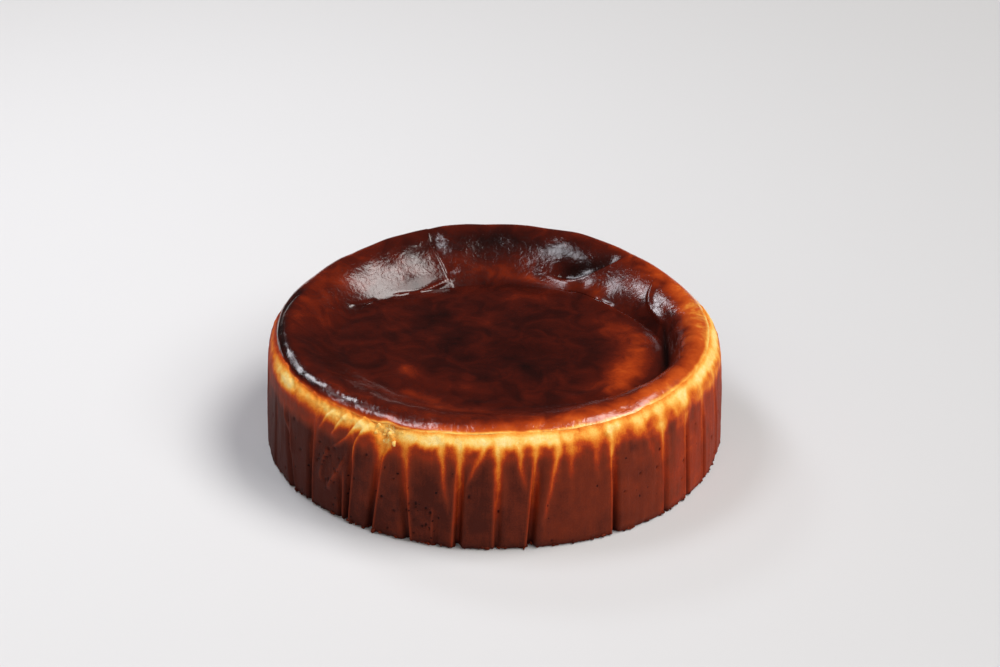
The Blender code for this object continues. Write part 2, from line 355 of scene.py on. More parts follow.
def fold_share(line: np.ndarray, left: float, right: float, x: np.ndarray, y: np.ndarray) -> np.ndarray:
    """How strongly a fold shows at each place, from 0 to 1.

    Args:
        line: the fold's points.
        left: its reach to the left of the line.
        right: its reach to the right of the line.
        x: the places' first coordinate, in mm.
        y: their second coordinate, in mm.

    Returns:
        The share, which tapers towards both ends of the line.
    """
    path = smooth_line(line)
    reach = 3 * max(left, right)
    low, high = path.min(axis=0) - reach, path.max(axis=0) + reach
    near = (x > low[0]) & (x < high[0]) & (y > low[1]) & (y < high[1])
    share = np.zeros_like(x)
    gap = np.stack([x[near], y[near]], axis=-1)[:, None, :] - path[None, :, :]
    distance = np.hypot(gap[..., 0], gap[..., 1])
    nearest = distance.argmin(axis=1)
    index = np.arange(len(nearest))
    ahead = np.gradient(path, axis=0)[nearest]
    offset = gap[index, nearest]
    on_left = ahead[:, 0] * offset[:, 1] - ahead[:, 1] * offset[:, 0] > 0
    along = nearest / (len(path) - 1)
    taper = smooth(0.0, 0.22, along) * smooth(1.0, 0.78, along)
    share[near] = bell(distance[index, nearest], np.where(on_left, left, right)) * (0.15 + 0.85 * taper)
    return share


class Unevenness:
    """Smooth seeded noise through space, from -1 to 1, which gives the same cake every time."""

    LATTICE = 64

    def __init__(self, seed: int) -> None:
        """Fills the lattice from a fixed seed."""
        rng = np.random.default_rng(seed)
        self.lattice = rng.uniform(-1.0, 1.0, (self.LATTICE, self.LATTICE, self.LATTICE))

    def at(self, points: np.ndarray, grain: Sequence[float], octaves: int = 1) -> np.ndarray:
        """Reads the noise.

        Args:
            points: positions in mm, with X, Y and Z last.
            grain: the noise's grain size in mm along X, Y and Z.
            octaves: how many times finer grain is added at half the strength.

        Returns:
            One value for each point.
        """
        total = np.zeros(points.shape[:-1])
        strength = 1.0
        for octave in range(octaves):
            place = points / np.asarray(grain) * 2.0**octave + 17.3 * (octave + 1)
            cell = np.floor(place).astype(int)
            t = place - cell
            t = t * t * (3 - 2 * t)
            value = np.zeros_like(total)
            for corner in range(8):
                step = np.array([corner & 1, corner >> 1 & 1, corner >> 2 & 1])
                index = (cell + step) % self.LATTICE
                weight = np.prod(np.where(step, t, 1 - t), axis=-1)
                value += self.lattice[index[..., 0], index[..., 1], index[..., 2]] * weight
            total += value * strength
            strength *= 0.5
        return total


@dataclass
class CakeForm:
    """The whole cake's form: it gives the radius and height of every place on the surface, in mm."""

    unit: float
    shoulder_start: float = 42.0
    side_draw_in: float = 1.6
    side_bow: float = 2.0
    shoulder_fullness: float = 1.85
    wall_fall: float = 1.9
    crease_reach: float = 5.0
    middle_height: float = 42.2
    even_from: float = 46.0  # radius inside which the floor evens out towards middle_height
    even_to: float = 6.0
    noise: Unevenness = field(default_factory=lambda: Unevenness(5))

    def station(self, name: str, angle: np.ndarray) -> np.ndarray:
        """Reads one field of the rim stations at any angle, on a smooth closed curve through them.

        Args:
            name: the field's name.
            angle: angles in degrees.

        Returns:
            The field's value at each angle.
        """
        values = np.array([getattr(each, name) for each in RIM])
        place = (angle % 360.0) / 360.0 * len(RIM)
        index = np.floor(place).astype(int)
        t = place - index
        p0, p1, p2, p3 = (values[(index + offset) % len(RIM)] for offset in (-1, 0, 1, 2))
        slope_out, slope_in = (p2 - p0) / 2, (p3 - p1) / 2
        rise = p2 - p1
        square = 3 * rise - 2 * slope_out - slope_in
        cubic = slope_out + slope_in - 2 * rise
        return p1 + slope_out * t + square * t**2 + cubic * t**3

    def side_radius(self, angle: np.ndarray, height: np.ndarray) -> np.ndarray:
        """The plain side's radius before its pleats.

        Args:
            angle: angles in degrees.
            height: heights above the base.

        Returns:
            The radius at each place.
        """
        turn = np.radians(angle)
        waves = sum(size * np.cos(count * turn + phase) for count, phase, size in LINING_WAVES)
        up = np.clip(height / self.shoulder_start, 0.0, 1.0)
        return REFERENCE_RADIUS + waves - self.side_draw_in * up**self.side_bow

    def shoulder(self, angle: np.ndarray, share: np.ndarray) -> tuple[np.ndarray, np.ndarray]:
        """The plain shoulder between the side and the rim's crest.

        Args:
            angle: angles in degrees.
            share: how far over the shoulder, from 0 at the side to 1 at the crest.

        Returns:
            The radius and the height at each place.
        """
        turn = np.clip(share, 0.0, 1.0) * math.pi / 2
        outwards = np.clip(np.cos(turn), 0.0, 1.0) ** (2 / self.shoulder_fullness)
        upwards = np.sin(turn) ** (2 / self.shoulder_fullness)
        crest = self.station("crest_radius", angle)
        side = self.side_radius(angle, np.full_like(angle, self.shoulder_start))
        top = self.station("crest_height", angle)
        return crest + (side - crest) * outwards, self.shoulder_start + (top - self.shoulder_start) * upwards

    def crater(self, angle: np.ndarray, radius: np.ndarray) -> np.ndarray:
        """The form inside the crest: down the inner wall and across the sunken floor.

        Args:
            angle: angles in degrees.
            radius: distances from the middle.

        Returns:
            The height at each place.
        """
        crest = self.station("crest_radius", angle)
        top = self.station("crest_height", angle)
        foot = self.station("foot_radius", angle)
        floor = self.station("floor_height", angle)
        crease = self.station("crease", angle)
        soft = self.station("softness", angle)
        share = np.clip((crest - radius) / (crest - foot), 0.0, 1.0)
        fall = (1 - soft) * share**self.wall_fall + soft * share * share * (3 - 2 * share)
        wall = top - (top - floor + crease) * fall
        inside = floor - crease * np.exp(-np.clip(foot - radius, 0.0, None) / self.crease_reach)
        inside += (self.middle_height - inside) * smooth(self.even_from, self.even_to, radius)
        return np.where(radius > foot, wall, inside)

    def skin_edge(self, angle: np.ndarray) -> np.ndarray:
        """Where the skin ends: ragged on the left, torn at the notch and nearly even at the front.

        Args:
            angle: angles in degrees.

        Returns:
            The edge at each angle, as a share of the shoulder.
        """
        turn = np.radians(angle)
        ring = np.stack([np.cos(turn), np.sin(turn), np.zeros_like(turn)], axis=-1) * REFERENCE_RADIUS
        ragged = 0.012 + 0.022 * around(angle, 215.0, 35.0)
        torn = 0.06 * around(angle, 243.0, 2.6)
        return self.station("skin_edge", angle) + ragged * self.noise.at(ring, (7.0, 7.0, 7.0), 3) + torn

    def points(self, angle: np.ndarray, radius: np.ndarray, height: np.ndarray) -> np.ndarray:
        """Positions in mm from angle, radius and height."""
        turn = np.radians(angle)
        return np.stack([radius * np.cos(turn), radius * np.sin(turn), height], axis=-1)


def profile_normals(radius: np.ndarray, height: np.ndarray) -> tuple[np.ndarray, np.ndarray]:
    """Works out the surface's normal along profiles.

    Args:
        radius: the profiles' radii, with one profile to a column.
        height: their heights.

    Returns:
        The outward and the upward part of the normal at each place.
    """
    across = np.gradient(radius, axis=0)
    along = np.gradient(height, axis=0)
    length = np.maximum(np.hypot(across, along), 1e-9)
    return along / length, -across / length


def line_on_top(fold: Fold) -> np.ndarray:
    """Turns a fold's points on the top from angle and radius into X and Y.

    Args:
        fold: the fold.

    Returns:
        Its points in mm.
    """
    turn = np.radians([angle for angle, _ in fold.line])
    radius = np.array([radius for _, radius in fold.line])
    return np.stack([radius * np.cos(turn), radius * np.sin(turn)], axis=-1)


def patch_share(patch: Patch, angle: np.ndarray, radius: np.ndarray) -> np.ndarray:
    """How strongly a patch shows at each place on the top.

    Args:
        patch: the patch.
        angle: the places' angles in degrees.
        radius: their distances from the middle.

    Returns:
        The share at each place, from 0 to 1.
    """
    sideways = np.radians(turned(angle, patch.angle)) * patch.radius / patch.round_reach
    inwards = (radius - patch.radius) / patch.radial_reach
    return np.exp(-(sideways**2) - inwards**2)


# ------------------------------------------------------------------------------
# Modelling helpers
# ------------------------------------------------------------------------------


def deselect_all() -> None:
    """Leaves object mode with nothing selected."""
    if bpy.context.object is not None and bpy.context.object.mode != "OBJECT":
        bpy.ops.object.mode_set(mode="OBJECT")
    bpy.ops.object.select_all(action="DESELECT")


def rolled_grid(name: str, spots: np.ndarray) -> tuple[bpy.types.Object, np.ndarray, np.ndarray]:
    """Adds a flat grid and rolls it into a ring whose two ends are merged.

    Args:
        name: the new object's name.
        spots: positions in metres by row and column.

    Returns:
        The object, and the row and column of each of its vertices.
    """
    rows, columns = spots.shape[:2]
    deselect_all()
    bpy.ops.mesh.primitive_grid_add(x_subdivisions=columns, y_subdivisions=rows - 1, size=1.0)
    sheet = bpy.context.object
    sheet.name = sheet.data.name = name
    flat = np.empty(len(sheet.data.vertices) * 3)
    sheet.data.vertices.foreach_get("co", flat)
    flat = flat.reshape(-1, 3)
    column = np.rint((flat[:, 0] + 0.5) * columns).astype(int) % columns
    row = np.rint((flat[:, 1] + 0.5) * (rows - 1)).astype(int)
    sheet.data.vertices.foreach_set("co", spots[row, column].ravel())
    marks = sheet.data.attributes.new("mark", "INT", "POINT")
    marks.data.foreach_set("value", row * columns + column)
    bpy.ops.object.mode_set(mode="EDIT")
    bpy.ops.mesh.select_all(action="SELECT")
    bpy.ops.mesh.remove_doubles(threshold=1e-7)
    bpy.ops.object.mode_set(mode="OBJECT")
    mark = np.empty(len(sheet.data.vertices), dtype=np.int32)
    sheet.data.attributes["mark"].data.foreach_get("value", mark)
    return sheet, mark // columns, mark % columns


def select_row(sheet: bpy.types.Object, vertex_rows: np.ndarray, row: int) -> None:
    """Enters edit mode with just one row of a rolled grid's vertices selected.

    Args:
        sheet: the rolled grid.
        vertex_rows: the row of each of its vertices.
        row: the row to select.
    """
    bpy.ops.object.mode_set(mode="EDIT")
    bpy.ops.mesh.select_mode(type="VERT")
    bpy.ops.mesh.select_all(action="DESELECT")
    bpy.ops.object.mode_set(mode="OBJECT")
    chosen = np.zeros(len(sheet.data.vertices), dtype=bool)
    chosen[: len(vertex_rows)] = vertex_rows == row
    sheet.data.vertices.foreach_set("select", chosen)
    bpy.ops.object.mode_set(mode="EDIT")


def close_flat(sheet: bpy.types.Object, vertex_rows: np.ndarray, row: int) -> None:
    """Fills an open row with a fan of faces.

    Args:
        sheet: the rolled grid.
        vertex_rows: the row of each of its vertices.
        row: the row to fill.
    """
    select_row(sheet, vertex_rows, row)
    bpy.ops.mesh.edge_face_add()
    bpy.ops.mesh.poke()
    bpy.ops.object.mode_set(mode="OBJECT")


def close_inside(
    sheet: bpy.types.Object, vertex_rows: np.ndarray, row: int, inset: float, height: float
) -> None:
    """Closes an open row out of sight inside the cake: draws its edge inwards, flattens it and fills it.

    Args:
        sheet: the rolled grid.
        vertex_rows: the row of each of its vertices.
        row: the row to close.
        inset: the drawn-in edge's size, as a share of the row's.
        height: the height it is flattened at, in metres.
    """
    select_row(sheet, vertex_rows, row)
    bpy.ops.mesh.extrude_edges_move()
    bpy.ops.transform.resize(value=(inset, inset, 0.0), center_override=(0.0, 0.0, height))
    bpy.ops.mesh.edge_face_add()
    bpy.ops.mesh.poke()
    bpy.ops.object.mode_set(mode="OBJECT")


def store(piece: bpy.types.Object, name: str, values: np.ndarray) -> None:
    """Stores one number a vertex for the finishes to read."""
    attribute = piece.data.attributes.new(name, "FLOAT", "POINT")
    attribute.data.foreach_set("value", values.astype(np.float32))


def finish_piece(piece: bpy.types.Object, material: bpy.types.Material) -> bpy.types.Object:
    """Turns the faces out, smooths the shading, gives the finish and hangs the piece on the frame.

    Args:
        piece: the modelled piece.
        material: its finish.

    Returns:
        The same piece.
    """
    deselect_all()
    bpy.context.view_layer.objects.active = piece
    piece.select_set(True)
    bpy.ops.object.mode_set(mode="EDIT")
    bpy.ops.mesh.select_all(action="SELECT")
    bpy.ops.mesh.normals_make_consistent(inside=False)
    bpy.ops.object.mode_set(mode="OBJECT")
    bpy.ops.object.shade_smooth()
    if "mark" in piece.data.attributes:
        piece.data.attributes.remove(piece.data.attributes["mark"])
    piece.data.materials.clear()
    piece.data.materials.append(material)
    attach(piece, BODY)
    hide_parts(NODE)
    log.info("%s: %d vertices, %d faces", piece.name, len(piece.data.vertices), len(piece.data.polygons))
    return piece


# ------------------------------------------------------------------------------
# Finishes
# ------------------------------------------------------------------------------


MATH = "ShaderNodeMath"
NOISE = "ShaderNodeTexNoise"
MAPPING = "ShaderNodeMapping"
ATTRIBUTE = "ShaderNodeAttribute"
RAMP = "ShaderNodeValToRGB"
BUMP = "ShaderNodeBump"


def linear(code: str) -> tuple[float, float, float, float]:
    """Turns an sRGB hex code into a linear colour with full alpha."""
    values = [int(code[i : i + 2], 16) / 255 for i in (1, 3, 5)]
    return (*((v / 12.92 if v <= 0.04045 else ((v + 0.055) / 1.055) ** 2.4) for v in values), 1.0)


def add_node(
    tree: bpy.types.NodeTree, kind: str, settings: Optional[dict] = None, links: Optional[dict] = None
) -> bpy.types.Node:
    """Adds a node.

    Args:
        tree: the material's node tree.
        kind: the node's type name.
        settings: values for its properties, and for its input sockets by name or number.
        links: what feeds each input socket, by name or number: an output socket, or a node for its first.

    Returns:
        The node.
    """
    node = tree.nodes.new(kind)
    for key, value in (settings or {}).items():
        if isinstance(key, str) and hasattr(node, key):
            setattr(node, key, value)
        else:
            node.inputs[key].default_value = value
    for key, source in (links or {}).items():
        output = source if isinstance(source, bpy.types.NodeSocket) else source.outputs[0]
        tree.links.new(output, node.inputs[key])
    return node


def new_finish(name: str) -> tuple[bpy.types.Material, bpy.types.NodeTree, bpy.types.Node]:
    """Adds a material.

    Args:
        name: its name.

    Returns:
        The material, its node tree and its shader.
    """
    material = bpy.data.materials.new(name)
    material.use_nodes = True
    return material, material.node_tree, material.node_tree.nodes["Principled BSDF"]


def fill_ramp(ramp: bpy.types.ColorRamp, stops: Sequence[tuple[float, str]]) -> None:
    """Gives a colour ramp its stops.

    Args:
        ramp: the colour ramp.
        stops: each stop's place and sRGB hex code.
    """
    while len(ramp.elements) > 1:
        ramp.elements.remove(ramp.elements[-1])
    ramp.elements[0].position = stops[0][0]
    ramp.elements[0].color = linear(stops[0][1])
    for place, code in stops[1:]:
        ramp.elements.new(place).color = linear(code)


@dataclass(frozen=True)
class BakedCustard:
    """Custard baked against creased paper: a matte brown crust, and cream where the paper stood off.

    The attribute for how baked it is runs from 0 for pale custard to 1 for dark crust, and also holds
    painted light on the side and on the pleats' lips; the attribute for the grooves is painted shade in the
    pleats' depths, along the worn foot and in the larger bubbles; and `porous` says where small burst bubbles
    show, whose holes are darkened with painted shade too.
    """

    name: str = "baked_custard_crust"
    stops: tuple[tuple[float, str], ...] = (
        (0.00, "#fde39c"),
        (0.12, "#fbca68"),
        (0.24, "#f4a23e"),
        (0.36, "#e27a22"),
        (0.48, "#c24a14"),
        (0.60, "#973112"),
        (0.74, "#792c15"),
        (0.88, "#632413"),
        (1.00, "#47180d"),
    )
    recess_shade_tint: str = "#6a2a1a"
    mottle_mm: float = 6.0
    fibre_mm: float = 1.3
    grain_mm: float = 0.55  # the crust's own grain is finer still, and wouldn't show
    bubble_wander_mm: float = 1.1  # how far, and over what distance, the bubbles' outlines stray
    bubble_gap_mm: float = 3.2
    bubble_share: float = 0.20  # a bubble's radius, as a share of the gap between two
    mottle_strength: float = 0.26
    fibre_strength: float = 0.12
    fibre_length: float = 10.0  # times their width
    grain_strength: float = 0.22
    paler: float = 0.14  # taken off again, since fibres and grain only darken
    roughness: float = 0.6
    relief_mm: float = 0.5

    def material(self, unit: float) -> bpy.types.Material:
        """Builds the material.

        Args:
            unit: metres for one stated mm.

        Returns:
            The material.
        """
        material, tree, shader = new_finish(self.name)
        place = add_node(tree, "ShaderNodeTexCoord").outputs["Object"]
        bake_and_painted_light, recess_shade, porous = (
            add_node(tree, ATTRIBUTE, {"attribute_name": name}).outputs["Fac"]
            for name in ("bake_and_painted_light", "recess_shade", "porous")
        )
        mottling = {"Scale": 1 / (self.mottle_mm * unit), "Detail": 4.0}
        mottle = add_node(tree, NOISE, mottling, {"Vector": place})
        upright = add_node(tree, MAPPING, {"Scale": (1.0, 1.0, 1 / self.fibre_length)}, {"Vector": place})
        fibres = {"Scale": 1 / (self.fibre_mm * unit), "Detail": 3.0}
        fibre = add_node(tree, NOISE, fibres, {"Vector": upright})
        grain = add_node(tree, NOISE, {"Scale": 1 / (self.grain_mm * unit), "Detail": 3.0}, {"Vector": place})
        centred = {"operation": "MULTIPLY_ADD", 1: self.mottle_strength, 2: -self.mottle_strength / 2}
        mottled = add_node(tree, MATH, centred, {0: mottle})
        fibrous = {"operation": "MULTIPLY_ADD", 1: self.fibre_strength}
        streaked = add_node(tree, MATH, fibrous, {0: fibre, 2: mottled})
        # The stored value holds painted light on the side and on the pleats' lips as well as how baked it is.
        baked = add_node(tree, MATH, {"operation": "ADD"}, {0: bake_and_painted_light, 1: streaked})
        grainy = {"operation": "MULTIPLY_ADD", 1: self.grain_strength}
        specked = add_node(tree, MATH, grainy, {0: grain, 2: baked})
        level = add_node(tree, MATH, {"operation": "SUBTRACT", 1: self.paler}, {0: specked})
        ramp = add_node(tree, RAMP, {}, {0: level})
        fill_ramp(ramp.color_ramp, self.stops)

        wander = self.bubble_wander_mm * unit
        wobble = add_node(tree, NOISE, {"Scale": 1 / wander, "Detail": 1.0}, {"Vector": place})
        astray = {"operation": "MULTIPLY_ADD", 1: (wander, wander, wander)}
        shifted = add_node(tree, "ShaderNodeVectorMath", astray, {0: wobble.outputs["Color"], 2: place})
        gap = {"Scale": 1 / (self.bubble_gap_mm * unit)}
        cells = add_node(tree, "ShaderNodeTexVoronoi", gap, {"Vector": shifted})
        edge = {1: self.bubble_share, 2: self.bubble_share * 0.55, 3: 0.0, 4: 1.0}
        hole = add_node(tree, "ShaderNodeMapRange", {"interpolation_type": "SMOOTHSTEP", **edge}, {0: cells})
        kept = add_node(tree, MATH, {"operation": "LESS_THAN"}, {0: cells.outputs["Color"], 1: porous})
        bubble = add_node(tree, MATH, {"operation": "MULTIPLY"}, {0: hole, 1: kept})
        # Painted shade: the bubbles' holes and the pleats' recesses are multiplied darker.
        dark = add_node(tree, MATH, {"operation": "MAXIMUM"}, {0: bubble, 1: recess_shade})
        shade = {"data_type": "RGBA", "blend_type": "MULTIPLY", 7: linear(self.recess_shade_tint)}
        shaded = add_node(tree, "ShaderNodeMix", shade, {0: dark, 6: ramp})
        tree.links.new(shaded.outputs[2], shader.inputs["Base Color"])

        texture = add_node(tree, MATH, {"operation": "MULTIPLY_ADD", 1: 0.3}, {0: fibre, 2: grain})
        height = add_node(tree, MATH, {"operation": "MULTIPLY_ADD", 1: -2.0}, {0: bubble, 2: texture})
        bump = add_node(tree, BUMP, {"Strength": 0.5, "Distance": self.relief_mm * unit}, {"Height": height})
        tree.links.new(bump.outputs["Normal"], shader.inputs["Normal"])
        shader.inputs["Roughness"].default_value = self.roughness
        shader.inputs["IOR"].default_value = 1.40
        shader.inputs["Specular IOR Level"].default_value = 0.16
        return material


@dataclass(frozen=True)
class CaramelSkin:
    """Sugar and custard burnt to a thin glossy skin: amber where thin, near black inside, finely wrinkled.

    The attribute for the burn runs from 0 for amber to 1 for black, and also holds painted shade in the top's
    pocket, slit, valley and fold of loose skin; `wrinkled` says how strong the fine parallel wrinkles are,
    and
    `puckered` how much the skin puckers all ways.
    """

    name: str = "caramelised_skin"
    stops: tuple[tuple[float, str], ...] = (
        (0.00, "#f9cf6c"),
        (0.12, "#ec9a3c"),
        (0.25, "#c4531c"),
        (0.40, "#9c3610"),
        (0.54, "#6c200c"),
        (0.68, "#4a140a"),
        (0.84, "#310d08"),
        (1.00, "#1c0806"),
    )
    cloud_mm: float = 12.0
    speck_mm: float = 1.5
    wrinkle_mm: float = 1.6
    wrinkle_stretch: tuple[float, float, float] = (1.0, 0.24, 0.5)
    wrinkle_turn: float = 8.0  # degrees
    pucker_mm: float = 2.4
    cloud_strength: float = 0.44
    speck_strength: float = 0.10
    paler: float = 0.05  # taken off again, since specks only darken
    roughness: float = 0.19
    roughness_spread: float = 0.20
    relief_mm: float = 0.6

    def material(self, unit: float) -> bpy.types.Material:
        """Builds the material.

        Args:
            unit: metres for one stated mm.

        Returns:
            The material.
        """
        material, tree, shader = new_finish(self.name)
        place = add_node(tree, "ShaderNodeTexCoord").outputs["Object"]
        char_and_painted_shade, wrinkled, puckered = (
            add_node(tree, ATTRIBUTE, {"attribute_name": name}).outputs["Fac"]
            for name in ("char_and_painted_shade", "wrinkled", "puckered")
        )
        clouds = {"Scale": 1 / (self.cloud_mm * unit), "Detail": 5.0, "Distortion": 1.2}
        cloud = add_node(tree, NOISE, clouds, {"Vector": place})
        speck = add_node(tree, NOISE, {"Scale": 1 / (self.speck_mm * unit), "Detail": 2.0}, {"Vector": place})
        centred = {"operation": "MULTIPLY_ADD", 1: self.cloud_strength, 2: -self.cloud_strength / 2}
        clouded = add_node(tree, MATH, centred, {0: cloud})
        speckled = {"operation": "MULTIPLY_ADD", 1: self.speck_strength}
        specked = add_node(tree, MATH, speckled, {0: speck, 2: clouded})
        # Adds specks to the burn, which also holds painted shade in the top's deepest folds.
        burnt = add_node(tree, MATH, {"operation": "ADD"}, {0: char_and_painted_shade, 1: specked})
        level = add_node(tree, MATH, {"operation": "SUBTRACT", 1: self.paler}, {0: burnt})
        ramp = add_node(tree, RAMP, {}, {0: level})
        fill_ramp(ramp.color_ramp, self.stops)
        tree.links.new(ramp.outputs["Color"], shader.inputs["Base Color"])

        stretch = {"Rotation": (0.0, 0.0, math.radians(self.wrinkle_turn)), "Scale": self.wrinkle_stretch}
        drawn = add_node(tree, MAPPING, stretch, {"Vector": place})
        fine = {"Scale": 1 / (self.wrinkle_mm * unit), "Detail": 2.5}
        wrinkle = add_node(tree, NOISE, fine, {"Vector": drawn})
        crumpled = {"Scale": 1 / (self.pucker_mm * unit), "Detail": 4.0, "Distortion": 0.6}
        pucker = add_node(tree, NOISE, crumpled, {"Vector": place})
        drawn_in = add_node(tree, MATH, {"operation": "MULTIPLY"}, {0: wrinkle, 1: wrinkled})
        height = add_node(tree, MATH, {"operation": "MULTIPLY_ADD"}, {0: pucker, 1: puckered, 2: drawn_in})
        bump = add_node(tree, BUMP, {"Strength": 0.6, "Distance": self.relief_mm * unit}, {"Height": height})
        tree.links.new(bump.outputs["Normal"], shader.inputs["Normal"])
        spread = self.roughness_spread
        uneven = {"operation": "MULTIPLY_ADD", 1: spread, 2: self.roughness - spread / 2}
        gloss = add_node(tree, MATH, uneven, {0: speck})
        tree.links.new(gloss.outputs[0], shader.inputs["Roughness"])
        shader.inputs["IOR"].default_value = 1.47
        shader.inputs["Specular IOR Level"].default_value = 0.5
        shader.inputs["Coat Weight"].default_value = 0.15
        shader.inputs["Coat Roughness"].default_value = 0.12
        return material


# ------------------------------------------------------------------------------
# Pieces
# ------------------------------------------------------------------------------


def back_pleats(front: Sequence[Pleat]) -> list[Pleat]:
    """Draws the pleats round the back, of the same kind as the front's.

    Args:
        front: the front's pleats, from left to right.

    Returns:
        The back's pleats.
    """
    rng = np.random.default_rng(11)
    pleats = []
    angle = front[-1].angle - 360 + rng.uniform(8, 12)
    while angle < front[0].angle - 8:
        steep = Steep.LEFT if rng.random() < 0.5 else Steep.RIGHT
        lean, depth, width = rng.uniform(-3.5, 3.5), rng.uniform(1.2, 3.4), rng.uniform(2.4, 3.4)
        pleats.append(Pleat(angle, lean, depth, width, steep))
        angle += rng.uniform(8, 14)
    return pleats


def back_streaks(pleats: Sequence[Pleat]) -> list[Streak]:
    """Draws the pale streaks round the back: one down each pleat there and one between it and the next.

    Args:
        pleats: the back's pleats.

    Returns:
        The back's streaks.
    """
    rng = np.random.default_rng(23)
    streaks = []
    for pleat in pleats:
        end = rng.uniform(2, 26)
        foot = pleat.angle + pleat.lean * end / REFERENCE_RADIUS
        width, strength = rng.uniform(1.7, 2.4), rng.uniform(0.7, 1.0)
        streaks.append(Streak(pleat.angle + pleat.lean, foot, end, width, strength))
        between = pleat.angle + rng.uniform(4, 7)
        drift, end, width = rng.uniform(-2, 2), rng.uniform(22, 34), rng.uniform(1.8, 2.6)
        streaks.append(Streak(between, between + drift, end, width, 0.8))
    return streaks


